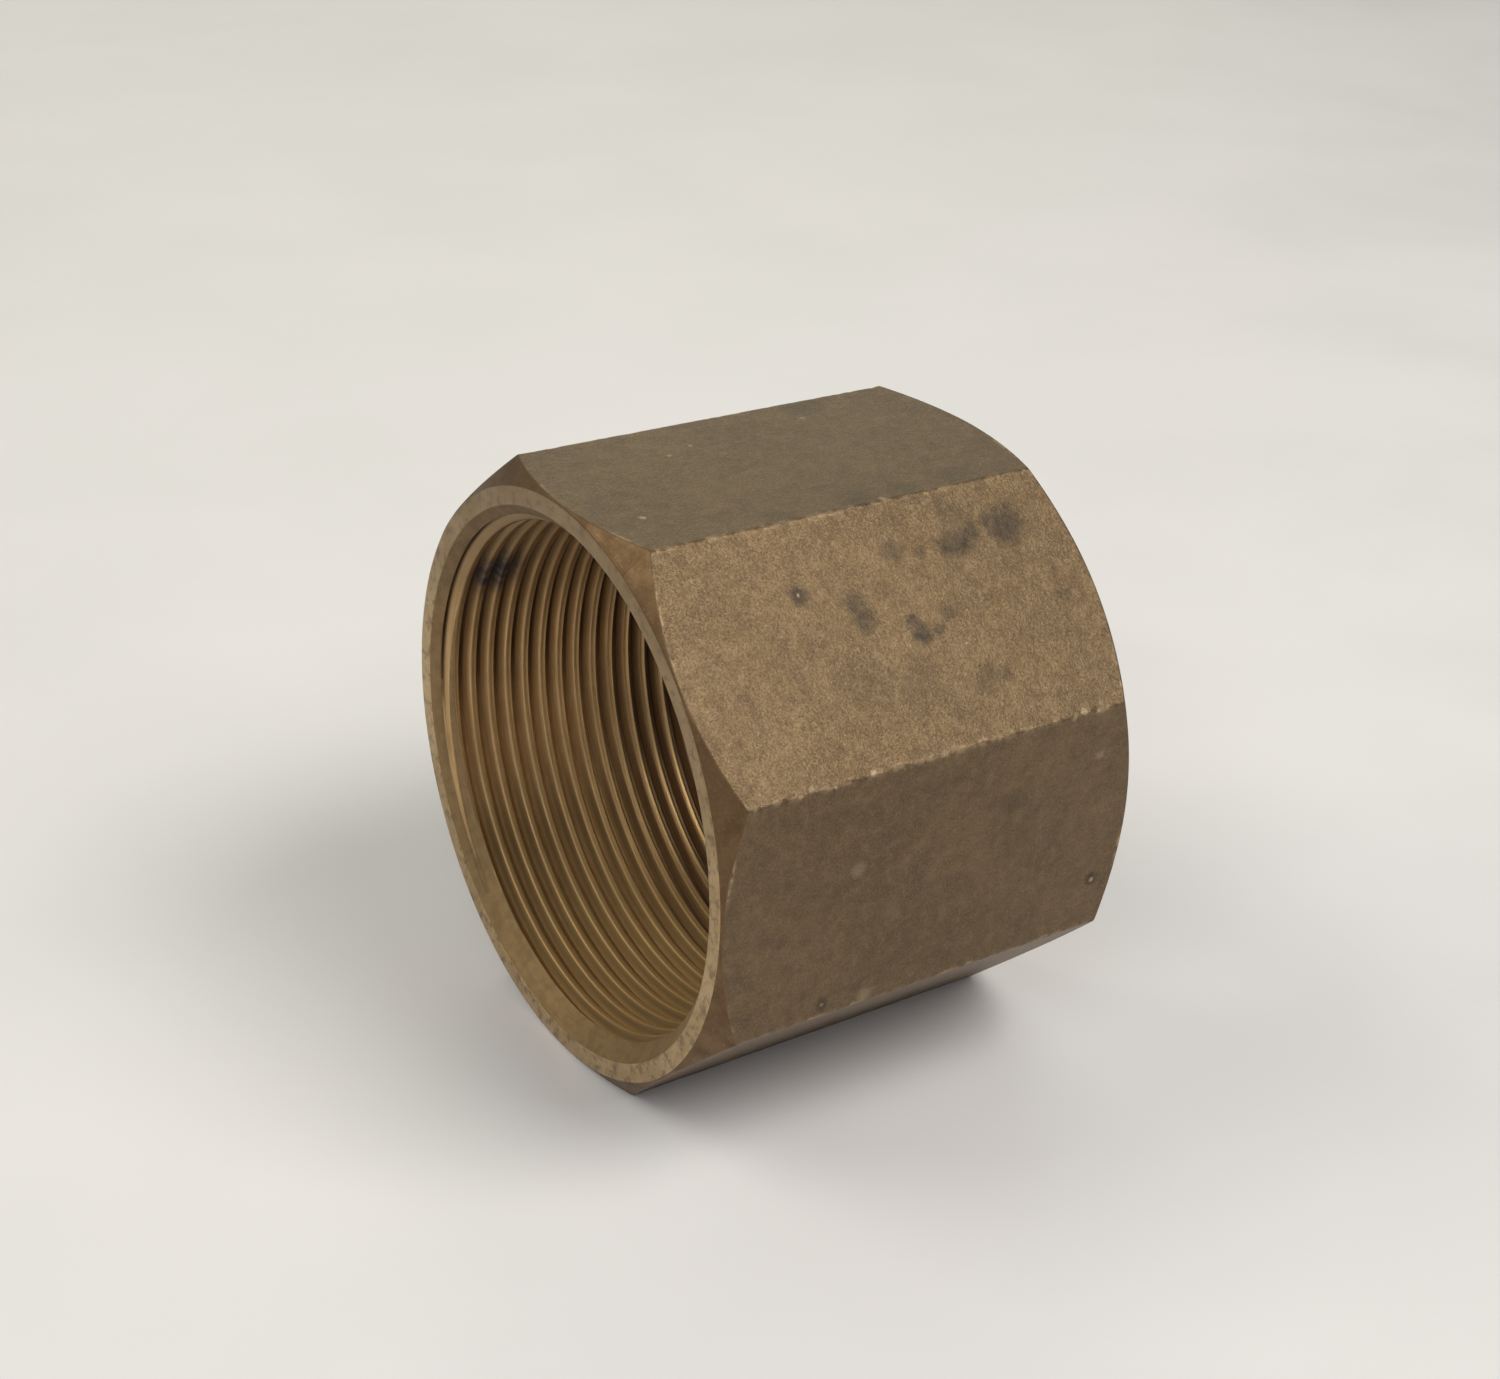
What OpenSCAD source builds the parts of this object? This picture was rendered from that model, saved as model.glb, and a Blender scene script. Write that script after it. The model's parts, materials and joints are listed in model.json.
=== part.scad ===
// Octagonal pipe coupling with a parallel pipe thread right through it, for 2 inch
// pipe (G 2). It is one machined piece. The bore axis runs along X, the coupling lies
// on one of its wrench flats, and the origin is on the axis at mid-length.

/* [Body] */
// Length from one end face to the other
body_length = 52; // [20:0.5:110]
// Wall between the thread's roots and the wrench flats
flat_wall = 3.193; // [2:0.001:12]
// Number of wrench flats
flat_count = 8; // [6, 8, 10, 12]

/* [End faces] */
// How far the rim of each end face lies inside the wrench flats
face_inset = 0.2; // [0:0.05:0.8]
// Angle between the corner chamfer and the end face
chamfer_angle = 40; // [15:1:55]

/* [Thread] */
// Major diameter, across the roots of the thread
major_d = 59.614; // [30:0.001:90]
// Radial height of the thread, from root to crest
thread_depth = 1.157; // [0.8:0.001:1.5]
// Axial distance from one turn to the next
pitch = 2.309; // [1.8:0.001:3.2]
// Included angle of the thread's groove
thread_angle = 55; // [50:1:60]
// Angle around the bore at which the groove starts
thread_start = 0; // [0:5:355]
// Straight segments in one turn of the groove
turn_segments = 36; // [24:4:48]

/* [Mouth] */
// How far the mouth of each countersink stands outside the thread's roots
mouth_relief = 1; // [0.4:0.1:1.6]
// Included angle of each countersink
mouth_angle = 90; // [60:5:120]

/* [Hidden] */

$fn = 180;
past = 1;                                // how far a cutter runs past what it cuts
brass = [0.47, 0.39, 0.27];

major_r = major_d / 2;
minor_r = major_r - thread_depth;
mouth_r = major_r + mouth_relief;
flat_r = major_r + flat_wall;            // half the distance across the flats
corner_r = flat_r / cos(180 / flat_count);
face_r = flat_r - face_inset;

// The countersink loses mouth_slope of radius in each millimetre of depth.
mouth_slope = tan(mouth_angle / 2);
sink_depth = (mouth_r - minor_r) / mouth_slope;

// The groove is a triangle with a sixth of its sharp height cut off, which leaves a
// root flat a sixth of the pitch wide. Its half-width grows by flank_slope in each
// millimetre towards the bore's axis.
flank_slope = tan(thread_angle / 2);
root_half = pitch / 12;
crest_half = pitch / 2 - root_half - thread_depth * flank_slope;

// The cutter reaches past the crests, but stops before its own turns would touch.
reach_share = 0.6;
cutter_r = minor_r - crest_half / flank_slope * reach_share;
cutter_half = root_half + (major_r - cutter_r) * flank_slope;

// It starts and ends where the groove has just run out of the countersink's cone.
run_out = 0.2;
groove_end = mouth_relief / mouth_slope - root_half - run_out;
groove_length = body_length - 2 * groove_end;
ring_count = ceil(groove_length / pitch * turn_segments);
groove_twist = 360 * groove_length / pitch;

function ring_share(ring) = ring / ring_count;
function ring_angle(ring) = thread_start + groove_twist * ring_share(ring);
function ring_z(ring) = groove_length * (ring_share(ring) - 1 / 2);

function ring_points(ring) = [
    for (corner = [[cutter_r, -cutter_half], [major_r, -root_half],
                   [major_r, root_half], [cutter_r, cutter_half]])
        [corner[0] * cos(ring_angle(ring)), corner[0] * sin(ring_angle(ring)),
         ring_z(ring) + corner[1]]
];

// Right-handed helical groove along Z.
module thread_groove() {
    sides = [for (ring = [0 : ring_count - 1], side = [0 : 3])
        let (a = 4 * ring + side, b = 4 * ring + (side + 1) % 4)
            each [[a, b, b + 4], [a, b + 4, a + 4]]];
    last = 4 * ring_count;
    polyhedron([for (ring = [0 : ring_count]) each ring_points(ring)],
               concat([[3, 2, 1, 0]], sides, [[last, last + 1, last + 2, last + 3]]));
}

// Bar with wrench flats, its ends turned to cones that take the corners off.
module bar() {
    cone_r = corner_r + past;
    cone_depth = (cone_r - face_r) * tan(chamfer_angle);
    half = body_length / 2;
    intersection() {
        rotate([0, 0, 180 / flat_count])
            cylinder(r = corner_r, h = body_length, center = true, $fn = flat_count);
        rotate_extrude()
            polygon([[0, -half], [face_r, -half], [cone_r, cone_depth - half],
                     [cone_r, half - cone_depth], [face_r, half], [0, half]]);
    }
}

// Bore to the thread's crests, with a countersink at each mouth.
module bore() {
    sink_r = mouth_r + past * mouth_slope;
    half = body_length / 2;
    rotate_extrude()
        polygon([[0, -half - past], [sink_r, -half - past], [minor_r, sink_depth - half],
                 [minor_r, half - sink_depth], [sink_r, half + past], [0, half + past]]);
}

module coupling_body() {
    color(brass)
        rotate([0, 90, 0])
            difference() {
                bar();
                bore();
                thread_groove();
            }
}

coupling_body();
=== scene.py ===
import json
import math

import bmesh
import bpy
import numpy as np
from mathutils import Matrix, Vector


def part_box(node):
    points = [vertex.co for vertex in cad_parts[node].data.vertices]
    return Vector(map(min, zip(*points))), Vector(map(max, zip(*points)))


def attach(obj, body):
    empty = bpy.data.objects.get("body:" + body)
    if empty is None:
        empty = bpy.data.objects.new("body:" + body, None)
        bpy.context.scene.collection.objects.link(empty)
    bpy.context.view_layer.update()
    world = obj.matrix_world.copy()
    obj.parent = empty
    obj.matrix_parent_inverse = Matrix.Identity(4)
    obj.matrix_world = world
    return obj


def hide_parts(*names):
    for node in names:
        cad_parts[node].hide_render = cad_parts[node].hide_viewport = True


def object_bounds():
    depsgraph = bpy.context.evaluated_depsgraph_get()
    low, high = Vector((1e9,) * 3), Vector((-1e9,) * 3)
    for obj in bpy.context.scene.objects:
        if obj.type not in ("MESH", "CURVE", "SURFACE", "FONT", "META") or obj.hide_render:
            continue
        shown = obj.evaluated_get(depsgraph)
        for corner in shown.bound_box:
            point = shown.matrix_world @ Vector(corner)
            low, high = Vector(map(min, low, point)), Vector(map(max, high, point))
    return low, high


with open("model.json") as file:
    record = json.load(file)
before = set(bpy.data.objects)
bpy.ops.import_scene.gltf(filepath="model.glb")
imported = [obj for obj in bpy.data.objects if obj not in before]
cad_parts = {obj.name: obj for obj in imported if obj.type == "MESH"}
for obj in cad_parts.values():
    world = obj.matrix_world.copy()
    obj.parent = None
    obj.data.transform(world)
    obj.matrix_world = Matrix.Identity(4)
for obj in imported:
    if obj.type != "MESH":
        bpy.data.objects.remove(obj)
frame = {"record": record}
cad_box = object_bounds()

MM = 0.001

# ---------------------------------------------------------------------------
# Sizes in millimetres. The body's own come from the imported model.
# ---------------------------------------------------------------------------
BODY = "coupling_body"
low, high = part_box(BODY)
LENGTH = (high.x - low.x) / MM
ACROSS_FLATS = (high.z - low.z) / MM
MOUNTS = {mount["name"]: mount for mount in frame["record"]["mounts"]}
MINOR_R = MOUNTS["thread_a"]["dims"]["r_mm"]

FLATS = 8
FACE_INSET = 0.2          # end face rim inside the flats
CHAMFER_ANGLE = 40.0      # from the end face
MAJOR_R = 59.614 / 2      # at the thread's roots
PITCH = 2.309
THREAD_ANGLE = 55.0
THREAD_START = 0.0        # angle of the groove's first ring, from straight down
MOUTH_RELIEF = 1.0        # of the countersinks outside the thread's roots
MOUTH_ANGLE = 90.0        # included

FLAT_R = ACROSS_FLATS / 2
HALF_SIDE = FLAT_R * math.tan(math.pi / FLATS)
FACE_R = FLAT_R - FACE_INSET
MOUTH_R = MAJOR_R + MOUTH_RELIEF
CHAMFER_SLOPE = math.tan(math.radians(CHAMFER_ANGLE))
MOUTH_SLOPE = math.tan(math.radians(MOUTH_ANGLE / 2))
FLANK_SLOPE = math.tan(math.radians(THREAD_ANGLE / 2))
ROOT_HALF = PITCH / 12
RUN_OUT = 0.2             # between the groove's ends and the countersinks' cones
GROOVE_END = MOUTH_RELIEF / MOUTH_SLOPE - ROOT_HALF - RUN_OUT

# Small rounding of the edges, as wear leaves them
MOUTH_ROUND = 0.12
RIM_ROUND = 0.12
ARC_ROUND = 0.16
ROUND_SHARE = 0.35        # the most of a chamfer's width that one round takes up
CREST_ROUND = 0.2         # how softly the thread's crests turn into its flanks
ROOT_ROUND = 0.05
CREST_WEAR = 0.05         # how far patches of the crests are worn down
CREST_CELL = 2.2          # size of those patches

# Cast unevenness of the flats: mean depth and waves, then finer waves
DENT, DENT_CELL = 0.02, 4.5
FINE_DENT, FINE_DENT_CELL = 0.012, 1.1
SKIN_FADE = 0.8           # from the chamfers, over which dents and nicks grow

# Nicks along the edges between the flats
RAGGED = 0.13             # how far nicks shift the edges
RAGGED_WIDTH = 0.7        # how far a nick reaches over a flat
NICK_CELL = 1.5           # how long a nick is
NICK_LIMIT = 2.0          # the deepest nick, in units of RAGGED
EDGES_APART = 37.0        # between the edges in the noise, so that no two edges have the same nicks
EDGE_WEAR = (1.0, 0.8, 1.1, 0.9, 0.7, 0.7, 1.5, 1.0)      # nicks on the edge before each flat
CORNER_PULL = 0.045       # how far wear has lowered the edges

# How worn a place is, which the materials show as brighter metal
EDGE_RUB = 0.25           # wear of an edge between two nicks
ARC_WEAR = 0.13           # how far the wear of a flat's curved ends reaches
ARC_CELL = 5.0            # size of the worn patches there
MOUTH_WEAR = 0.8

DENT_SEED, FINE_DENT_SEED, NICK_SEED, CREST_SEED, ARC_SEED = 11, 23, 51, 71, 93


# ---------------------------------------------------------------------------
# Noise for the shapes: smooth values from -1 to 1 on a lattice
# ---------------------------------------------------------------------------
def lattice(ix, iy, iz, seed):
    """A fixed pseudo-random value from -1 to 1 for each lattice point, by an integer hash."""
    h = (ix * 73856093) ^ (iy * 19349663) ^ (iz * 83492791) ^ (seed * 2654435761)
    h &= 0xFFFFFFFF
    h = ((h ^ (h >> 15)) * 2246822519) & 0xFFFFFFFF
    h = ((h ^ (h >> 13)) * 3266489917) & 0xFFFFFFFF
    return (h ^ (h >> 16)) / 0x7FFFFFFF - 1.0


def smooth_noise(points, cell, seed):
    """Value noise over points (..., 3) with features of about cell millimetres."""
    scaled = points / cell
    base = np.floor(scaled).astype(np.int64)
    part = scaled - base
    part = part * part * (3 - 2 * part)
    total = 0.0
    for dx in (0, 1):
        for dy in (0, 1):
            for dz in (0, 1):
                share = (
                    (part[..., 0] if dx else 1 - part[..., 0])
                    * (part[..., 1] if dy else 1 - part[..., 1])
                    * (part[..., 2] if dz else 1 - part[..., 2])
                )
                corner = lattice(base[..., 0] + dx, base[..., 1] + dy, base[..., 2] + dz, seed)
                total = total + share * corner
    return total


def fractal(points, cell, seed, octaves=3):
    """Layers of smooth noise, each half as large and half as strong as the last."""
    total, weight = 0.0, 0.0
    for octave in range(octaves):
        total = total + smooth_noise(points, cell / 2**octave, seed + octave) / 2**octave
        weight += 1 / 2**octave
    return total / weight


# ---------------------------------------------------------------------------
# The coupling's mesh: columns run round the axis, rows along the surface
# ---------------------------------------------------------------------------
FACE, CONE, FLAT, BORE = range(4)     # the kinds of surface
FLAT_ROWS = 144
FACE_ROWS, SLOPE_ROWS, ARC_POINTS = 4, 3, 4               # end face, chamfer and its outer round
FACE_MARGIN = (0.45, 0.35)            # of the end face's rows, from the mouth and from the rim
FLAT_COLUMNS = 25         # across a flat, between the close ones at its corners
CORNER_STEPS = (0.0, 0.13, 0.3, 0.55, 0.95, 1.6)                    # distances from a corner
FLANK_STEPS = (0.15, 0.24, 0.38, 0.58, 0.72, 0.79, 0.86, 0.98)      # from the groove's centre
# One turn's rows: the middle of the crest, then both flanks and the root between them
GROOVE_OFFSETS = (-PITCH / 2, *(-step for step in reversed(FLANK_STEPS)), *FLANK_STEPS)


def stations():
    """Places along one flat, from a corner up to the next: close together at the corners."""
    last = CORNER_STEPS[-1]
    middle = np.linspace(last, 2 * HALF_SIDE - last, FLAT_COLUMNS)[1:-1]
    far = [2 * HALF_SIDE - step for step in reversed(CORNER_STEPS[1:])]
    return np.array([*CORNER_STEPS, *middle, *far]) - HALF_SIDE


# One value for each column of the outside
ALONG = np.tile(stations(), FLATS)
FLAT_OF = np.repeat(np.arange(FLATS), len(stations()))
SIDE_OF = np.where(ALONG > 0, 1.0, -1.0)                  # which edge of its flat is nearer
EDGE_OF = np.where(ALONG > 0, FLAT_OF + 1, FLAT_OF) % FLATS
TO_EDGE = HALF_SIDE - np.abs(ALONG)
ON_EDGE = TO_EDGE < 1e-6
NEAR_EDGE = np.clip(1 - TO_EDGE / RAGGED_WIDTH, 0, 1)
TURN = 2 * np.pi / FLATS
# Angles are measured about +X from straight down (-Z) towards +Y, as the thread's are.
ANGLE = TURN * FLAT_OF + np.arctan2(ALONG, FLAT_R)
BORE_ANGLE = ANGLE[::2]


def place(radius, angle, depth):
    """Points in the row frame, in millimetres, from radius, angle and place along X."""
    radius, angle, depth = np.broadcast_arrays(radius, angle, depth)
    return np.stack([depth, radius * np.sin(angle), -radius * np.cos(angle)], -1)


def rounded(before, corner, after, count=3):
    """Points of a small round between two edges that meet at corner."""
    return [
        (1 - t) ** 2 * before + 2 * t * (1 - t) * corner + t * t * after
        for t in np.linspace(0, 1, count)
    ]


def mouth_round():
    """The round between countersink and end face, from inside to outside, as (radius, depth)."""
    lean = math.radians(MOUTH_ANGLE / 2)
    corner = np.array([MOUTH_R, 0.0])
    inside = corner + MOUTH_ROUND * np.array([-math.sin(lean), math.cos(lean)])
    return np.array(rounded(inside, corner, corner + [MOUTH_ROUND, 0.0]))


def end_profile(radius):
    """One column's (radius, depth) rows from the end face out to the start of its flat."""
    chamfer = np.array([radius - FACE_R, (radius - FACE_R) * CHAMFER_SLOPE])
    slant = np.hypot(*chamfer)
    rim_round = min(RIM_ROUND, ROUND_SHARE * slant)
    arc_round = min(ARC_ROUND, ROUND_SHARE * slant)
    rim, corner = np.array([FACE_R, 0.0]), np.array([radius, chamfer[1]])
    first = rim + chamfer * rim_round / slant
    last = corner - chamfer * arc_round / slant
    inmost, outmost = MOUTH_R + FACE_MARGIN[0], FACE_R - FACE_MARGIN[1]
    face = [np.array([r, 0.0]) for r in np.linspace(inmost, outmost, FACE_ROWS)]
    slope = [first + (last - first) * t for t in np.linspace(0, 1, SLOPE_ROWS + 2)[1:-1]]
    return np.array([
        *face,
        *rounded(rim - [rim_round, 0.0], rim, first),
        *slope,
        *rounded(last, corner, corner + [0.0, arc_round], ARC_POINTS),
    ])


# The kinds of surface after an end's rows: the rim's round is half face and half cone, and the
# curved edge's round is cone but for its last step.
END_KINDS = [FACE] * (FACE_ROWS + 1) + [CONE] * (SLOPE_ROWS + ARC_POINTS) + [FLAT]


def outer_rows():
    """Radius and place along X of the outside, rows by columns, the kind of surface after each
    row, and how far each point lies inside its flat's curved ends."""
    radius = np.hypot(FLAT_R, ALONG)
    ends = np.stack([end_profile(r) for r in radius], 1)
    start = ends[-1, :, 1]
    share = np.linspace(0, 1, FLAT_ROWS + 2)[1:-1, None]
    flat_depth = start + (LENGTH - 2 * start) * share
    rows_r = np.concatenate([ends[:, :, 0], np.tile(radius, (FLAT_ROWS, 1)), ends[::-1, :, 0]])
    rows_x = np.concatenate([ends[:, :, 1], flat_depth, LENGTH - ends[::-1, :, 1]])
    kinds = np.array(END_KINDS + [FLAT] * (FLAT_ROWS + 1) + END_KINDS[::-1])
    inside = np.minimum(rows_x, LENGTH - rows_x) - start
    return rows_r, rows_x - LENGTH / 2, kinds, inside


def skin(points, inside):
    """The outside with its cast unevenness and the nicks along its edges, all inwards, and how
    worn each point is. Inside is how far it lies within its flat's curved ends."""
    share = np.clip(inside / SKIN_FADE, 0, 1)
    coarse = DENT * fractal(points, DENT_CELL, DENT_SEED)
    fine = FINE_DENT * fractal(points, FINE_DENT_CELL, FINE_DENT_SEED, 2)
    dent = np.clip(DENT + coarse + fine, 0, None) * share
    nick = nicks(points[..., 0]) * share
    between = NEAR_EDGE**2 * share * np.clip(EDGE_RUB + np.abs(nick), 0, 1)
    rubbed = np.clip(3 * fractal(points, ARC_CELL, ARC_SEED, 2) - 0.3, 0, 1)
    at_ends = np.exp(-((inside / ARC_WEAR) ** 2)) * rubbed
    slide = RAGGED * nick * np.array(EDGE_WEAR)[EDGE_OF]
    return nicked(points, dent, slide), np.maximum(between, at_ends)


def nicks(x):
    """How deep each point's edge is nicked, and on which side: mostly near 0, with a few peaks."""
    apart = np.broadcast_to(EDGE_OF * EDGES_APART, x.shape)
    wander = fractal(np.stack([x, apart, 0 * x], -1), NICK_CELL, NICK_SEED)
    return np.clip(4 * np.sign(wander) * wander**2, -NICK_LIMIT, NICK_LIMIT)


def nicked(points, dent, slide):
    """The points lowered by dent, with each edge line slid along one of its flats by slide. The
    other flat slopes down to it."""
    normal = place(1.0, TURN * FLAT_OF, 0.0)
    tangent = place(1.0, TURN * FLAT_OF + np.pi / 2, 0.0)
    before = place(1.0, TURN * (FLAT_OF - 1) + np.pi / 2, 0.0)
    cut = np.clip(slide * SIDE_OF, 0, None) * math.sin(TURN) * NEAR_EDGE**2
    push = np.clip(-slide * SIDE_OF, 0, None) * NEAR_EDGE
    moved = points - normal * (dent + np.where(ON_EDGE, 0, cut))[..., None]
    moved = moved - tangent * (SIDE_OF * push * ~ON_EDGE)[..., None]
    moved = moved + tangent * (np.clip(slide, 0, None) * ON_EDGE)[..., None]
    moved = moved - before * (np.clip(-slide, 0, None) * ON_EDGE)[..., None]
    radial = points * [0, 1, 1] / np.hypot(points[..., 1], points[..., 2])[..., None]
    return moved - radial * (CORNER_PULL * ON_EDGE)[..., None]


TURNS_BEFORE, TURNS_AFTER = 3, 2      # turns of rows that start before, or end past, the bore
LEAST_STEP = 0.03                     # between a row and the mouth's round


def groove_radius(offset):
    """Radius of the thread at an axial offset from the groove's centre, its edges softened."""
    sharp = MAJOR_R - (np.abs(offset) - ROOT_HALF) / FLANK_SLOPE
    over = sharp - MINOR_R
    crest = MINOR_R + 0.5 * (over + np.sqrt(over**2 + CREST_ROUND**2))
    under = MAJOR_R - crest
    return MAJOR_R - 0.5 * (under + np.sqrt(under**2 + ROOT_ROUND**2))


def bore_rows(angle):
    """Points of the bore and how far each lies from crest to root. Rows follow the helix, and
    those that would lie past a mouth gather at the mouth's round, where they vanish."""
    first_centre = -LENGTH / 2 + GROOVE_END - PITCH * THREAD_START / 360
    turns = range(-TURNS_BEFORE, math.ceil(LENGTH / PITCH) + TURNS_AFTER)
    rows = np.array([turn * PITCH + offset for turn in turns for offset in GROOVE_OFFSETS])
    along = rows[:, None] + PITCH * angle / (2 * np.pi)
    offset = np.broadcast_to(np.tile(GROOVE_OFFSETS, len(turns))[:, None], along.shape)
    depth = np.clip(along + first_centre + LENGTH / 2, 0, LENGTH)
    edge = mouth_round()[0, 1]
    from_end = np.minimum(depth, LENGTH - depth)
    from_end = np.where(from_end < edge + LEAST_STEP, edge, from_end)
    depth = np.where(depth > LENGTH / 2, LENGTH - from_end, from_end)
    thread = groove_radius(offset)
    share = np.clip((thread - MINOR_R) / (MAJOR_R - MINOR_R), 0, 1)
    worn = 0.5 + 0.5 * fractal(place(thread, angle, depth), CREST_CELL, CREST_SEED, 2)
    thread = thread + CREST_WEAR * worn * (1 - share) * (from_end > 2 * edge)
    mouth = MOUTH_R - from_end * MOUTH_SLOPE
    points = place(np.maximum(thread, mouth), angle, depth - LENGTH / 2)
    return points, np.where(mouth > thread, 0, share)


class Surface:
    """A growing surface: its vertices in millimetres, and its faces with their kinds."""

    def __init__(self):
        self.points, self.wear, self.groove = [], [], []
        self.quads, self.kinds, self.fans = [], [], []
        self.count = 0

    def add(self, points, wear, groove):
        """Keeps these vertices and returns their numbers, in the same grid."""
        self.points.append(points.reshape(-1, 3))
        self.wear.append(np.broadcast_to(wear, points.shape[:-1]).ravel())
        self.groove.append(np.broadcast_to(groove, points.shape[:-1]).ravel())
        numbers = self.count + np.arange(points[..., 0].size).reshape(points.shape[:-1])
        self.count += numbers.size
        return numbers

    def span(self, grid, right, kinds):
        """Adds quads between the rows of a grid of vertex numbers. Right holds each vertex's
        neighbour in the next column, and kinds one kind, or one for each gap between rows."""
        quads = np.stack([grid[:-1], grid[1:], right[1:], right[:-1]], -1)
        self.quads.append(quads.reshape(-1, 4))
        self.kinds.append(np.repeat(np.broadcast_to(kinds, len(quads)), grid.shape[1]))


def add_outside(surface):
    """Adds flats, chamfers and end faces, and returns the end faces' inmost rows."""
    rows_r, rows_x, kinds, inside = outer_rows()
    points, wear = skin(place(rows_r, ANGLE, rows_x), inside)
    grid = surface.add(points, wear, 0.0)
    surface.span(grid, np.roll(grid, -1, 1), kinds)
    return grid[0], grid[-1]


def add_mouth(surface, sign, face):
    """Adds the round of the mouth on the side of sign, and joins it to its end face's inmost row,
    which has twice as many columns."""
    profile = mouth_round()
    ring = place(profile[:, :1], BORE_ANGLE, sign * (LENGTH / 2 - profile[:, 1:]))
    ring = surface.add(ring, MOUTH_WEAR, 0.0)
    surface.span(ring, np.roll(ring, -1, 1), FACE)
    lip, after = ring[-1], np.roll(ring[-1], -1)
    fans = np.stack([lip, face[::2], face[1::2], np.roll(face[::2], -1), after], -1)
    surface.fans += fans.tolist()


def add_bore(surface):
    """Adds the bore. Past its last column the helix goes on in the first, one turn further."""
    points, groove = bore_rows(BORE_ANGLE)
    grid = surface.add(points, 0.0, groove)
    right = np.roll(grid, -1, 1)
    per_turn = len(GROOVE_OFFSETS)
    right[:-per_turn, -1] = grid[per_turn:, 0]
    right[-per_turn:, -1] = grid[-1, 0]
    surface.span(grid, right, BORE)


def coupling_surface():
    """The whole coupling as one closed surface."""
    surface = Surface()
    near_face, far_face = add_outside(surface)
    add_mouth(surface, -1, near_face)
    add_mouth(surface, 1, far_face)
    add_bore(surface)
    return surface


def merged(surface):
    """The surface's points, their wear and groove depth, its faces and their kinds, with vertices
    at one place joined and without the faces that vanish by it."""
    points = np.concatenate(surface.points)
    keys = np.round(points, 3) + 0.0
    _, first, number = np.unique(keys, axis=0, return_index=True, return_inverse=True)
    number = number.ravel()
    quads = number[np.concatenate(surface.quads)]
    distinct = quads != np.roll(quads, -1, 1)
    folded = (quads[:, 0] == quads[:, 2]) | (quads[:, 1] == quads[:, 3])
    kept = (distinct.sum(1) >= 3) & ~folded
    faces = [quad[keep].tolist() for quad, keep in zip(quads[kept], distinct[kept])]
    faces += [number[fan].tolist() for fan in surface.fans]
    kinds = [*np.concatenate(surface.kinds)[kept], *[FACE] * len(surface.fans)]
    values = [np.concatenate(value)[first] for value in (surface.wear, surface.groove)]
    return points[first], values, faces, kinds


# ---------------------------------------------------------------------------
# Materials
# ---------------------------------------------------------------------------
SPOT_CELL = 1.2           # size of the waves in a spot's outline, in millimetres
SPOT_CORE = 0.35          # where a spot starts to fade, in radii
SPOT_RIM = 1.35           # where it has gone


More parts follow.
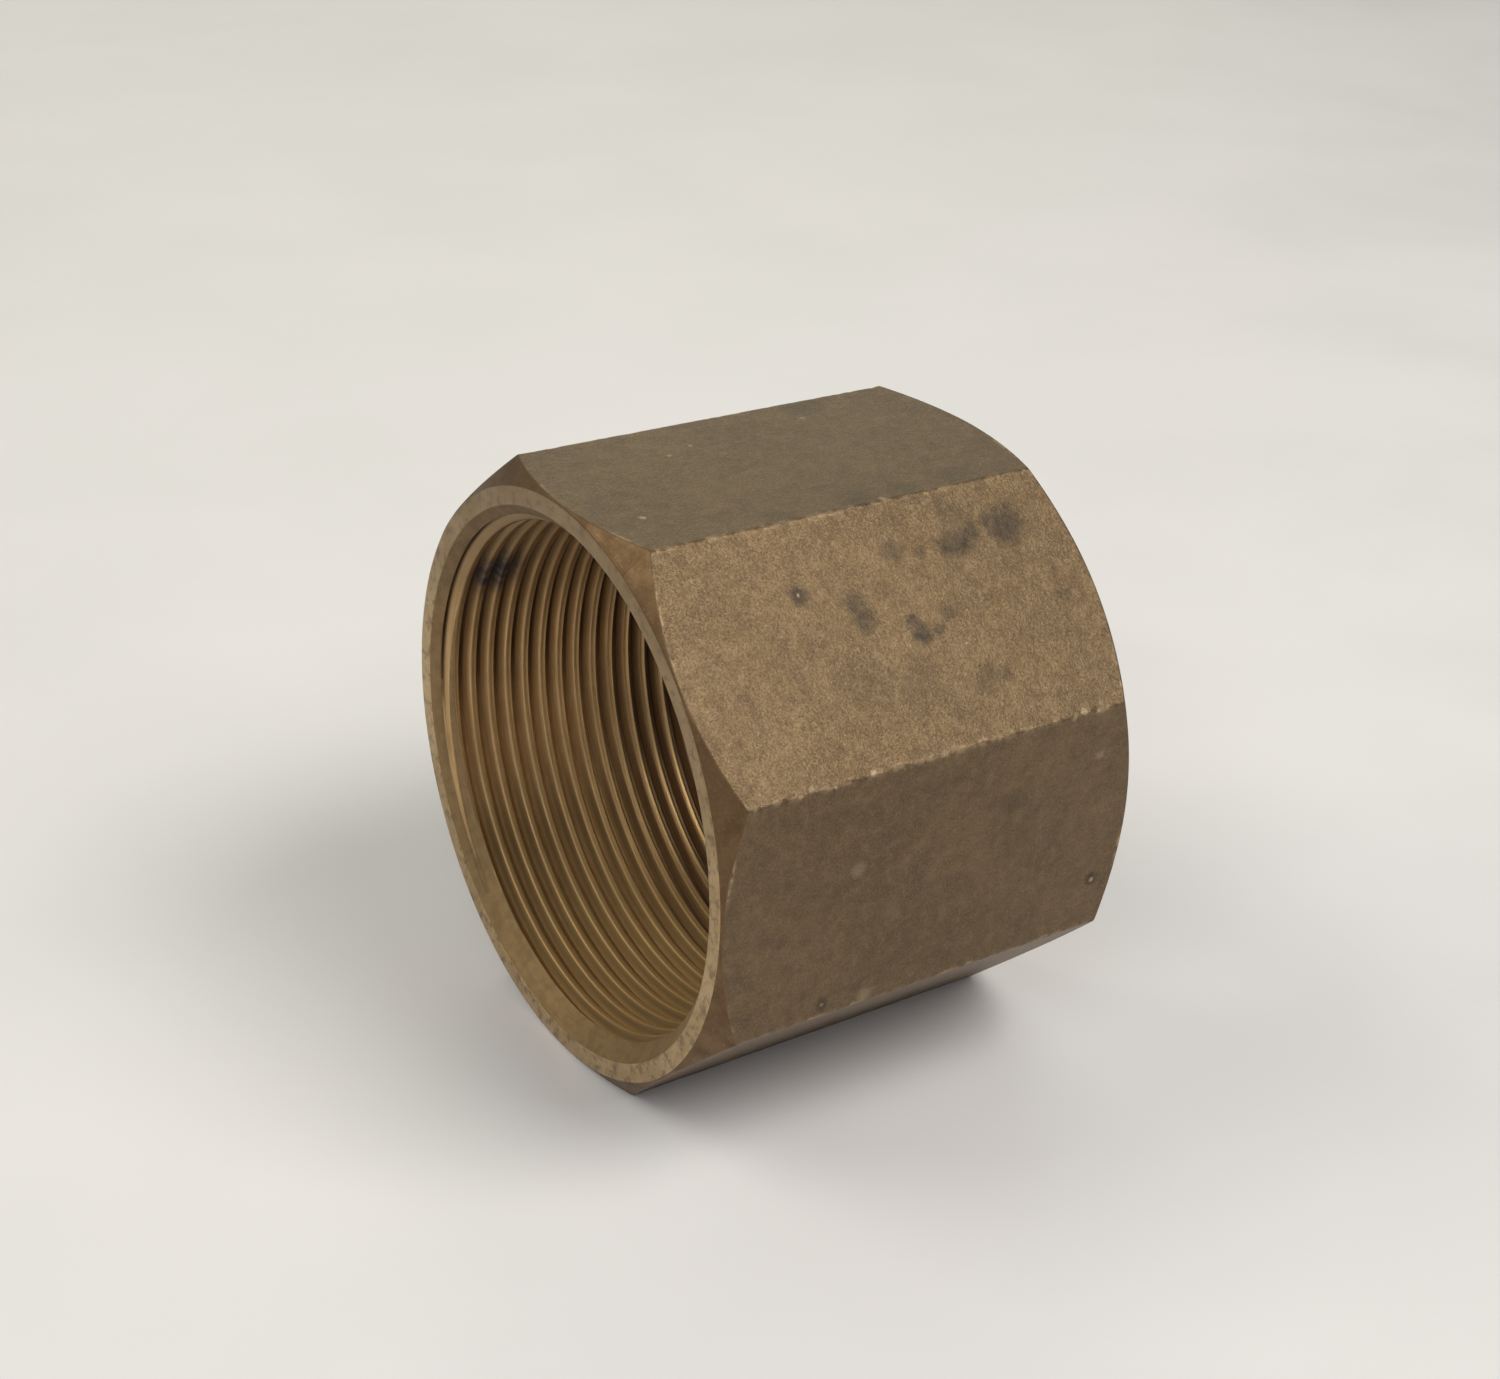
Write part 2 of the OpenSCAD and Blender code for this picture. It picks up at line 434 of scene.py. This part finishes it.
class Pattern:
    """A Principled material, with short names for the nodes that its patterns are made of."""

    def __init__(self, name, metallic):
        self.material = bpy.data.materials.new(name)
        self.material.use_nodes = True
        self.tree = self.material.node_tree
        self.surface = self.tree.nodes["Principled BSDF"]
        self.surface.inputs["Metallic"].default_value = metallic
        self.here = self.new("ShaderNodeTexCoord").outputs["Object"]

    def new(self, kind, **settings):
        """A new node of a kind."""
        node = self.tree.nodes.new(kind)
        for key, value in settings.items():
            setattr(node, key, value)
        return node

    def put(self, socket, value):
        """Links value to the socket if it is an output, and otherwise sets it there."""
        if isinstance(value, bpy.types.NodeSocket):
            self.tree.links.new(value, socket)
        else:
            socket.default_value = value

    def math(self, operation, a, b=0.0):
        """The output of a Math node."""
        node = self.new("ShaderNodeMath", operation=operation)
        self.put(node.inputs[0], a)
        self.put(node.inputs[1], b)
        return node.outputs[0]

    def noise(self, size, detail=2.0, roughness=0.5, at=None):
        """Noise from 0 to 1 with features of about size millimetres."""
        node = self.new("ShaderNodeTexNoise")
        self.put(node.inputs["Vector"], at or self.here)
        node.inputs["Scale"].default_value = 1 / (size * MM)
        node.inputs["Detail"].default_value = detail
        node.inputs["Roughness"].default_value = roughness
        return node.outputs["Fac"]

    def ramp(self, value, low, high, to_low=0.0, to_high=1.0):
        """Value with low and high stretched to to_low and to_high, and held beyond them. Low may
        be the larger of the two."""
        node = self.new("ShaderNodeMapRange", interpolation_type="SMOOTHSTEP")
        for socket, number in zip(node.inputs, (value, low, high, to_low, to_high)):
            self.put(socket, number)
        return node.outputs[0]

    def mix(self, share, a, b):
        """Colour a with a share of colour b in it."""
        node = self.new("ShaderNodeMix", data_type="RGBA")
        self.put(node.inputs[0], share)
        self.put(node.inputs[6], a)
        self.put(node.inputs[7], b)
        return node.outputs[2]

    def layered(self, colour, layers):
        """The colour with others mixed in by noise. A layer is a noise, two levels of it, the
        other colour's share at each of these, and that colour."""
        for noise, low, high, at_low, at_high, tint in layers:
            colour = self.mix(self.ramp(noise, low, high, at_low, at_high), colour, tint)
        return colour

    def attribute(self, name):
        return self.new("ShaderNodeAttribute", attribute_name=name).outputs["Fac"]

    def parts(self):
        """Place along the axis, height, distance from the axis and angle round it."""
        split = self.new("ShaderNodeSeparateXYZ")
        self.put(split.inputs[0], self.here)
        x, y, z = split.outputs
        squares = self.math("ADD", self.math("MULTIPLY", y, y), self.math("MULTIPLY", z, z))
        return x, z, self.math("SQRT", squares), self.math("ARCTAN2", y, z)

    def turned(self, length):
        """Coordinates in which noise becomes marks about length times as long round the axis."""
        x, _, radius, angle = self.parts()
        joined = self.new("ShaderNodeCombineXYZ")
        self.put(joined.inputs[0], x)
        self.put(joined.inputs[1], radius)
        self.put(joined.inputs[2], self.math("MULTIPLY", angle, FACE_R * MM / length))
        return joined.outputs[0]

    def spots(self, places, ragged=0.5):
        """A mask with a soft ragged spot for each (centre, radius, strength), in millimetres."""
        shift = self.new("ShaderNodeTexNoise")
        self.put(shift.inputs["Vector"], self.here)
        shift.inputs["Scale"].default_value = 1 / (SPOT_CELL * MM)
        bent = self.new("ShaderNodeVectorMath", operation="MULTIPLY_ADD")
        self.put(bent.inputs[0], shift.outputs["Color"])
        bent.inputs[1].default_value = (2 * ragged * MM,) * 3
        self.put(bent.inputs[2], self.here)
        mask = 0.0
        for centre, radius, strength in places:
            distance = self.new("ShaderNodeVectorMath", operation="DISTANCE")
            self.put(distance.inputs[0], bent.outputs[0])
            distance.inputs[1].default_value = [(value + ragged) * MM for value in centre]
            core, rim = SPOT_CORE * radius * MM, SPOT_RIM * radius * MM
            spot = self.ramp(distance.outputs["Value"], core, rim, strength, 0.0)
            mask = self.math("MAXIMUM", mask, spot)
        return mask

    def finish(self, colour, roughness, height, depth):
        """Sets colour and roughness, and a bump depth millimetres deep from a height of 0 to 1."""
        self.put(self.surface.inputs["Base Color"], colour)
        self.put(self.surface.inputs["Roughness"], roughness)
        bump = self.new("ShaderNodeBump")
        bump.inputs["Distance"].default_value = depth * MM
        self.put(bump.inputs["Height"], height)
        self.put(self.surface.inputs["Normal"], bump.outputs["Normal"])
        return self.material


def rgb(red, green, blue):
    return (red, green, blue, 1.0)


# Colours of the flats
SKIN_DARK, SKIN_LIGHT = rgb(0.150, 0.100, 0.052), rgb(0.186, 0.124, 0.066)
SKIN_CLOUD = rgb(0.135, 0.091, 0.054)
PATCH_DARK, PATCH_LIGHT = rgb(0.115, 0.075, 0.043), rgb(0.235, 0.162, 0.09)
MOTTLE_DARK, MOTTLE_LIGHT = rgb(0.108, 0.067, 0.037), rgb(0.22, 0.152, 0.086)
# dark grain specks, and pale ones that are painted glints
GRAIN_DARK, GRAIN_GLINT = rgb(0.08, 0.052, 0.03), rgb(0.33, 0.24, 0.15)
DUST = rgb(0.44, 0.36, 0.27)
# stains, and painted shade along the top flat's edge
STAIN_AND_SHADE = rgb(0.044, 0.035, 0.027)
PALE_MARK = rgb(0.4, 0.31, 0.2)
RUBBED_EDGE = rgb(0.5, 0.36, 0.22)

# Colours of the chamfers
CHAMFER_DARK, CHAMFER_LIGHT = rgb(0.125, 0.072, 0.034), rgb(0.175, 0.105, 0.052)
CHAMFER_GRAIN = rgb(0.27, 0.18, 0.1)
CHAMFER_RING = rgb(0.1, 0.062, 0.036)
CHAMFER_RUBBED = rgb(0.4, 0.29, 0.17)

# Colours of the end faces
FACE_DARK, FACE_LIGHT = rgb(0.38, 0.265, 0.136), rgb(0.49, 0.35, 0.188)
FACE_RING = rgb(0.54, 0.4, 0.22)
# for the end faces' upper half, darker towards the top
FACE_TOP_DARK = rgb(0.2, 0.134, 0.068)
FACE_FRECKLE = rgb(0.17, 0.115, 0.07)
FACE_GRAIN = rgb(0.2, 0.14, 0.085)

# Colours of the bore
CUT_DARK, CUT_LIGHT = rgb(0.58, 0.38, 0.175), rgb(0.68, 0.455, 0.22)
CUT_RING = rgb(0.27, 0.18, 0.09)
# painted shade for the bore's upper part
UPPER_SHADE = rgb(0.17, 0.103, 0.05)
UNDER_BROWN = rgb(0.33, 0.2, 0.075)
UNDER_FLANK = rgb(0.17, 0.108, 0.046)
# painted shade for the flanks deep inside
DEEP_FLANK_SHADE = rgb(0.14, 0.07, 0.03)
# painted highlight for the crests
CREST_HIGHLIGHT = rgb(0.85, 0.57, 0.26)
# painted shade for the roots
ROOT_SHADE = rgb(0.035, 0.02, 0.011)
SINK_LIGHT, SINK_FRECKLE = rgb(0.2, 0.136, 0.07), rgb(0.11, 0.074, 0.042)
BORE_SPOT = rgb(0.045, 0.045, 0.056)

BOARD_DARK, BOARD_LIGHT = rgb(0.71, 0.697, 0.72), rgb(0.745, 0.73, 0.755)


# Stains, painted shade and marks on the flats, in millimetres: (flat, distance from the near end,
# place across the flat from its middle, radius, strength). The named flats are the ones that the
# photograph shows well. What the others have is made up.
TOP, SLOPING, SIDE = 4, 5, 6
STAINS_AND_EDGE_SHADE = [
    (SLOPING, 43.7, -8.1, 2.5, 1.0),
    (SLOPING, 42.3, -8.8, 1.7, 0.85),
    (SLOPING, 36.0, -7.4, 1.6, 0.8),
    (SLOPING, 37.5, -7.5, 1.8, 0.95),
    (SLOPING, 39.0, -8.0, 1.5, 0.8),
    (SLOPING, 37.8, -10.1, 2.2, 0.4),
    (SLOPING, 37.0, -11.6, 1.4, 0.35),
    (SLOPING, 22.5, -3.7, 1.6, 0.75),
    (SLOPING, 22.9, -2.0, 1.7, 0.8),
    (SLOPING, 16.5, -5.9, 1.15, 0.95),
    (SLOPING, 28.8, -8.0, 1.5, 0.6),
    (SLOPING, 32.2, -7.5, 0.7, 0.5),
    (SLOPING, 28.2, -0.3, 1.1, 0.8),
    (SLOPING, 28.8, 1.0, 1.5, 0.9),
    (SLOPING, 30.9, 1.1, 0.9, 0.9),
    (SLOPING, 32.7, -0.4, 1.0, 0.7),
    (SLOPING, 20.0, 4.5, 3.2, 0.22),
    (SLOPING, 26.5, 6.0, 3.0, 0.22),
    (SLOPING, 34.2, 7.3, 1.6, 0.35),
    (SLOPING, 36.5, 7.3, 1.0, 0.35),
    (SLOPING, 47.5, 0.5, 1.2, 0.3),
    (TOP, 37.7, -11.9, 2.6, 0.4),
    # painted shade: a dark band on the top flat along its edge with the sloping flat
    (TOP, 18.0, 12.2, 2.2, 0.3),
    (TOP, 28.0, 11.9, 2.4, 0.35),
    (TOP, 34.0, 12.3, 2.2, 0.35),
    (TOP, 41.0, 12.1, 2.4, 0.3),
    (SIDE, 12.9, 12.2, 0.9, 0.8),
    (SIDE, 48.3, 7.8, 0.9, 0.9),
    (SIDE, 35.4, -5.3, 1.8, 0.4),
    (SIDE, 38.7, -3.6, 1.4, 0.35),
    (SIDE, 26.0, -9.5, 2.4, 0.2),
    (1, 14.0, 3.5, 1.6, 0.7),
    (1, 33.0, -6.0, 1.2, 0.5),
    (2, 27.0, -4.0, 1.8, 0.6),
    (2, 41.0, 6.5, 1.0, 0.7),
    (3, 12.0, 5.0, 1.3, 0.5),
    (3, 38.0, -2.0, 1.7, 0.6),
    (7, 22.0, 2.0, 1.4, 0.5),
]
PALE_MARKS = [
    (TOP, 5.8, 6.4, 0.4, 1.0),
    (TOP, 35.7, -9.1, 0.4, 0.6),
    (TOP, 16.7, -6.3, 0.32, 0.7),
    (TOP, 20.2, -7.6, 0.32, 0.6),
    (TOP, 30.5, 13.3, 0.4, 0.6),
    (SLOPING, 16.5, -5.9, 0.2, 0.6),
    (SLOPING, 1.9, 13.2, 0.4, 0.6),
    (SLOPING, 9.8, 13.3, 0.35, 0.4),
    (SLOPING, 17.2, 13.4, 0.4, 0.7),
    (SLOPING, 30.5, 13.4, 0.35, 0.5),
    (SLOPING, 44.1, 13.4, 0.45, 0.8),
    (SLOPING, 46.6, 13.0, 0.4, 0.35),
    (SIDE, 16.2, -3.0, 1.0, 0.3),
    (SIDE, 18.2, 12.9, 1.0, 0.35),
    (SIDE, 48.3, 7.8, 0.28, 0.9),
    (SIDE, 12.9, 12.2, 0.25, 0.5),
    (SIDE, 47.0, -8.0, 0.6, 0.3),
    (2, 9.0, 4.0, 0.4, 0.7),
    (1, 44.0, -7.0, 0.5, 0.5),
    (3, 25.0, 7.0, 0.4, 0.6),
]
# The dark spot in the near mouth: centre, radius and strength
BORE_STAIN = ((-LENGTH / 2 + 6.2, 25.2, 13.4), 3.6, 0.95)


def on_flats(marks):
    """The marks' centres in the row frame, with their radii and strengths."""
    found = []
    for flat, depth, along, radius, strength in marks:
        angle = TURN * flat
        tangent = place(1.0, angle + math.pi / 2, 0.0)
        centre = place(FLAT_R, angle, depth - LENGTH / 2) + along * tangent
        found.append((centre.tolist(), radius, strength))
    return found


def blasted_brass():
    """The flats: shot-blasted brass gone brown, with grain and its painted glints, stains, painted
    shade along the top flat's edge, pale marks and worn edges.
    """
    p = Pattern("blasted_brass", 0.8)
    broad, cloud, patch = p.noise(16, 3), p.noise(4.0, 4, 0.6), p.noise(2.3, 3, 0.6)
    mottle, dust, grain = p.noise(1.1, 3, 0.6), p.noise(0.6, 3, 0.6), p.noise(0.25, 3, 0.75)
    colour = p.layered(SKIN_DARK, (
        (broad, 0.32, 0.68, 0.0, 1.0, SKIN_LIGHT),
        (cloud, 0.3, 0.7, 0.0, 0.4, SKIN_CLOUD),
        (patch, 0.48, 0.66, 0.0, 0.5, PATCH_DARK),
        (patch, 0.3, 0.46, 0.4, 0.0, PATCH_LIGHT),
        (mottle, 0.5, 0.68, 0.0, 0.45, MOTTLE_LIGHT),
        (mottle, 0.32, 0.48, 0.35, 0.0, MOTTLE_DARK),
        (grain, 0.36, 0.52, 0.42, 0.0, GRAIN_DARK),
        # painted glints in the grain
        (grain, 0.52, 0.7, 0.0, 0.34, GRAIN_GLINT),
        (dust, 0.68, 0.8, 0.0, 0.6, DUST),
    ))
    # stains, with painted shade along the top flat's edge
    stain_and_shade = p.spots(on_flats(STAINS_AND_EDGE_SHADE))
    stain_and_shade = p.math("MULTIPLY", stain_and_shade, p.ramp(mottle, 0.3, 0.6, 0.98, 0.72))
    colour = p.mix(stain_and_shade, colour, STAIN_AND_SHADE)
    colour = p.mix(p.spots(on_flats(PALE_MARKS), 0.25), colour, PALE_MARK)
    worn = p.math("MULTIPLY", p.attribute("wear"), p.ramp(p.noise(1.1, 2), 0.38, 0.6))
    colour = p.mix(p.math("MULTIPLY", worn, 0.7), colour, RUBBED_EDGE)
    rough = p.ramp(grain, 0.3, 0.7, 0.5, 0.4)
    relief = p.math("ADD", grain, p.math("MULTIPLY", p.math("ADD", mottle, dust), 0.9))
    return p.finish(colour, rough, relief, 0.075)


def tarnished_brass():
    """The chamfers: turned brass gone brown, with faint rings."""
    p = Pattern("tarnished_brass", 0.8)
    cloud, grain = p.noise(3.0, 4, 0.6), p.noise(0.35, 3, 0.6)
    rings = p.noise(0.22, 2, 0.6, p.turned(50))
    colour = p.layered(CHAMFER_DARK, (
        (cloud, 0.3, 0.7, 0.0, 1.0, CHAMFER_LIGHT),
        (grain, 0.5, 0.75, 0.0, 0.35, CHAMFER_GRAIN),
        (rings, 0.5, 0.7, 0.0, 0.25, CHAMFER_RING),
    ))
    colour = p.mix(p.math("MULTIPLY", p.attribute("wear"), 0.5), colour, CHAMFER_RUBBED)
    rough = p.ramp(cloud, 0.3, 0.7, 0.55, 0.45)
    return p.finish(colour, rough, p.math("ADD", grain, rings), 0.015)


def machined_brass():
    """The end faces: turned brass, with fine rings, brown freckles, and darker towards the top."""
    p = Pattern("machined_brass", 0.85)
    cloud, freckle, grain = p.noise(4.0, 4, 0.6), p.noise(1.3, 4, 0.65), p.noise(0.4, 3, 0.6)
    rings = p.noise(0.16, 2, 0.6, p.turned(60))
    height = p.parts()[1]
    colour = p.layered(FACE_DARK, (
        (cloud, 0.3, 0.7, 0.0, 1.0, FACE_LIGHT),
        (rings, 0.4, 0.65, 0.0, 0.3, FACE_RING),
        # darker towards the top
        (height, -0.1 * FLAT_R * MM, 0.9 * FLAT_R * MM, 0.0, 0.75, FACE_TOP_DARK),
        (freckle, 0.48, 0.64, 0.0, 0.7, FACE_FRECKLE),
        (grain, 0.55, 0.72, 0.0, 0.35, FACE_GRAIN),
    ))
    rough = p.ramp(cloud, 0.3, 0.7, 0.5, 0.4)
    return p.finish(colour, rough, p.math("ADD", rings, p.math("MULTIPLY", grain, 0.6)), 0.02)


# Zones of the bore, each from where it starts to where it is full. The first three are heights,
# in crest radii, and the next two are places along X, in millimetres.
# painted shade darkens the upper zone
UPPER = (-0.2, 0.8)
UNDER = (-0.4, -0.75)
# the lit zone is the low part, where the roots get no painted shade
LIT_ZONE = (0.1, -0.4)
# deep inside, the flanks and roots get painted shade
INNER = (-9.5, 3.5)
INNER_END = (25.0, 20.0)
SINK_FADE = (0.02, 0.08)      # outside a countersink's cone, in millimetres
SINK_TARNISH = 0.75


def bore_zones(p):
    """Masks of the bore's upper part, of its lowest part, of the part deep inside, of where the
    groove's root gets painted shade, and of the countersinks."""
    x, height, radius, _ = p.parts()
    upper, under, lit_part = (
        p.ramp(height, start * MINOR_R * MM, full * MINOR_R * MM)
        for start, full in (UPPER, UNDER, LIT_ZONE)
    )
    near, far = (p.ramp(x, start * MM, full * MM) for start, full in (INNER, INNER_END))
    inner = p.math("MINIMUM", near, far)
    # where the roots get painted shade: deep inside, and above the lit low part
    shaded_roots = p.math("MAXIMUM", inner, p.math("SUBTRACT", 1.0, lit_part))
    cone = p.math("MULTIPLY", p.math("ABSOLUTE", x), MOUTH_SLOPE)
    cone_at_middle = (MOUTH_R - MOUTH_SLOPE * LENGTH / 2) * MM
    off_cone = p.math("SUBTRACT", p.math("SUBTRACT", radius, cone), cone_at_middle)
    sink = p.ramp(off_cone, SINK_FADE[0] * MM, SINK_FADE[1] * MM, SINK_TARNISH, 0.0)
    return upper, under, inner, shaded_roots, sink


def thread_colours(p, colour, under, inner, shaded_roots):
    """The colour with the thread's ones on it: browner flanks low down, painted shade on the flanks
    deep inside, a painted highlight on the crests where the roots are lit, and painted shade in the
    roots elsewhere."""
    groove = p.attribute("groove")
    lit_part = p.math("SUBTRACT", 1.0, shaded_roots)
    flank = p.math("MULTIPLY", p.ramp(groove, 0.05, 0.12), p.ramp(groove, 0.4, 0.9, 0.7, 0.0))
    for zone, band, tint in (
        (under, flank, UNDER_FLANK),
        # painted highlight on the crests in the lit low part
        (lit_part, p.ramp(groove, 0.03, 0.09, 0.3, 0.0), CREST_HIGHLIGHT),
        # painted shade on the flanks deep inside
        (inner, p.ramp(groove, 0.01, 0.07, 0.0, 0.85), DEEP_FLANK_SHADE),
        # painted shade in the roots
        (shaded_roots, p.ramp(groove, 0.75, 1.0, 0.0, 0.9), ROOT_SHADE),
    ):
        colour = p.mix(p.math("MULTIPLY", zone, band), colour, tint)
    return colour


def threaded_brass():
    """The bore: golden cut brass, with painted shade high up, deep inside and in the roots, browner
    low down and on the countersinks, with a painted highlight on the crests low down, fine rings
    and a dark spot in the near mouth."""
    p = Pattern("threaded_brass", 0.85)
    cloud, rings = p.noise(6.0, 4, 0.6), p.noise(0.2, 3, 0.6, p.turned(40))
    upper, under, inner, shaded_roots, sink = bore_zones(p)
    colour = p.mix(p.ramp(cloud, 0.3, 0.7), CUT_DARK, CUT_LIGHT)
    # painted shade over the bore's upper part
    colour = p.mix(p.math("MULTIPLY", upper, 0.75), colour, UPPER_SHADE)
    colour = p.mix(p.math("MULTIPLY", under, 0.6), colour, UNDER_BROWN)
    colour = thread_colours(p, colour, under, inner, shaded_roots)
    freckles = p.ramp(p.noise(1.5, 4, 0.65), 0.4, 0.65)
    colour = p.mix(sink, colour, p.mix(freckles, SINK_LIGHT, SINK_FRECKLE))
    colour = p.mix(p.ramp(rings, 0.35, 0.65, 0.35, 0.0), colour, CUT_RING)
    spot = p.math("MULTIPLY", p.spots([BORE_STAIN]), p.ramp(p.noise(0.9, 3), 0.3, 0.6, 0.6, 1.0))
    colour = p.mix(spot, colour, BORE_SPOT)
    # rougher on the countersinks and where the roots get no painted shade
    duller = p.math("MULTIPLY", p.math("ADD", sink, p.math("SUBTRACT", 1.0, shaded_roots)), 0.12)
    rough = p.math("ADD", p.ramp(rings, 0.3, 0.7, 0.5, 0.4), duller)
    return p.finish(colour, rough, p.math("ADD", rings, p.math("MULTIPLY", cloud, 0.5)), 0.02)


def white_floor():
    """The pale board that the coupling lies on."""
    p = Pattern("white_floor", 0.0)
    cloud, fibre = p.noise(60, 4), p.noise(1.2, 3, 0.6)
    colour = p.mix(p.ramp(cloud, 0.3, 0.7), BOARD_DARK, BOARD_LIGHT)
    return p.finish(colour, p.ramp(cloud, 0.3, 0.7, 0.5, 0.6), fibre, 0.02)


# ---------------------------------------------------------------------------
# The piece and its stage
# ---------------------------------------------------------------------------
SHARP_ANGLE = math.radians(38)            # between two faces, beyond which they aren't smoothed
FLOOR_REACH = 3.0                         # metres to each side

# Soft lights: name, direction, distance and size in metres, power in watts, colour. The first is
# where the sloping flat mirrors it to the camera.
SOFTBOXES = (
    ("side", (0.34, -0.5, 0.77), 1.1, 0.6, 8.5, (1.0, 0.97, 0.88)),
    ("front", (-0.6, -0.45, 0.68), 1.2, 0.7, 3.6, (0.98, 0.98, 1.0)),
    ("back", (0.4, 0.78, 0.47), 1.2, 0.9, 2.5, (1.0, 0.98, 0.76)),
    ("above", (-0.62, 0.42, 0.66), 1.2, 0.7, 5.2, (1.0, 0.98, 0.8)),
)
ROOM_LIGHT = 0.2                          # strength of the pale room all round

# A phone's wide view from above the near mouth, rolled a little
CAMERA_PLACE = (-131.8, -189.7, 127.8)    # millimetres
CAMERA_FORWARD = (0.50014, 0.7284, -0.46829)
CAMERA_RIGHT = (0.83793, -0.54352, 0.0495)
CAMERA_LENS, SENSOR_WIDTH = 56.1, 36.0    # millimetres
CLIP_START = 0.01                         # metres


def coupling():
    """The coupling as one object, with a material for each kind of surface."""
    points, values, faces, kinds = merged(coupling_surface())
    mesh = bpy.data.meshes.new(BODY + "_detail")
    mesh.from_pydata((points * MM).tolist(), [], faces)
    for name, value in zip(("wear", "groove"), values):
        layer = mesh.attributes.new(name, "FLOAT", "POINT")
        layer.data.foreach_set("value", value.astype(np.float32))
    for material in (machined_brass(), tarnished_brass(), blasted_brass(), threaded_brass()):
        mesh.materials.append(material)     # in the order FACE, CONE, FLAT, BORE
    mesh.polygons.foreach_set("material_index", kinds)
    rounds = bmesh.new()
    rounds.from_mesh(mesh)
    bmesh.ops.recalc_face_normals(rounds, faces=rounds.faces)
    open_edges = sum(not edge.is_manifold for edge in rounds.edges)
    print("coupling mesh:", len(faces), "faces,", open_edges, "open edges")
    rounds.to_mesh(mesh)
    rounds.free()
    mesh.polygons.foreach_set("use_smooth", [True] * len(mesh.polygons))
    mesh.set_sharp_from_angle(angle=SHARP_ANGLE)
    piece = bpy.data.objects.new(BODY + "_detail", mesh)
    bpy.context.scene.collection.objects.link(piece)
    return piece


def floor():
    """A wide plane under the coupling's lowest flat."""
    signs = ((-1, -1), (1, -1), (1, 1), (-1, 1))
    corners = [(x * FLOOR_REACH, y * FLOOR_REACH, cad_box[0].z) for x, y in signs]
    mesh = bpy.data.meshes.new("floor")
    mesh.from_pydata(corners, [], [(0, 1, 2, 3)])
    mesh.materials.append(white_floor())
    plane = bpy.data.objects.new("floor", mesh)
    bpy.context.scene.collection.objects.link(plane)


def softbox(name, direction, distance, size, power, colour):
    """A square area light that faces the coupling from a direction, sizes in metres."""
    light = bpy.data.lights.new(name, "AREA")
    light.size = size
    light.energy = power
    light.color = colour
    lamp = bpy.data.objects.new(name, light)
    lamp.location = Vector(direction).normalized() * distance
    lamp.rotation_euler = lamp.location.to_track_quat("Z", "Y").to_euler()
    bpy.context.scene.collection.objects.link(lamp)


def lights():
    """The soft lights and the pale room."""
    for settings in SOFTBOXES:
        softbox(*settings)
    world = bpy.data.worlds.new("room")
    world.use_nodes = True
    background = world.node_tree.nodes["Background"]
    background.inputs["Color"].default_value = rgb(1.0, 1.0, 1.0)
    background.inputs["Strength"].default_value = ROOM_LIGHT
    bpy.context.scene.world = world


def camera():
    """The camera, at the photograph's angle."""
    forward = Vector(CAMERA_FORWARD).normalized()
    right = Vector(CAMERA_RIGHT).normalized()
    up = right.cross(forward)
    lens = bpy.data.cameras.new("camera")
    lens.lens = CAMERA_LENS
    lens.sensor_width = SENSOR_WIDTH
    lens.clip_start = CLIP_START
    body = bpy.data.objects.new("camera", lens)
    turn = Matrix((right, up, -forward)).transposed()
    body.matrix_world = Matrix.Translation(Vector(CAMERA_PLACE) * MM) @ turn.to_4x4()
    bpy.context.scene.collection.objects.link(body)
    bpy.context.scene.camera = body


piece = coupling()
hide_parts(BODY)
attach(piece, "root")

floor()
lights()
camera()
bpy.context.scene.view_settings.view_transform = "Standard"
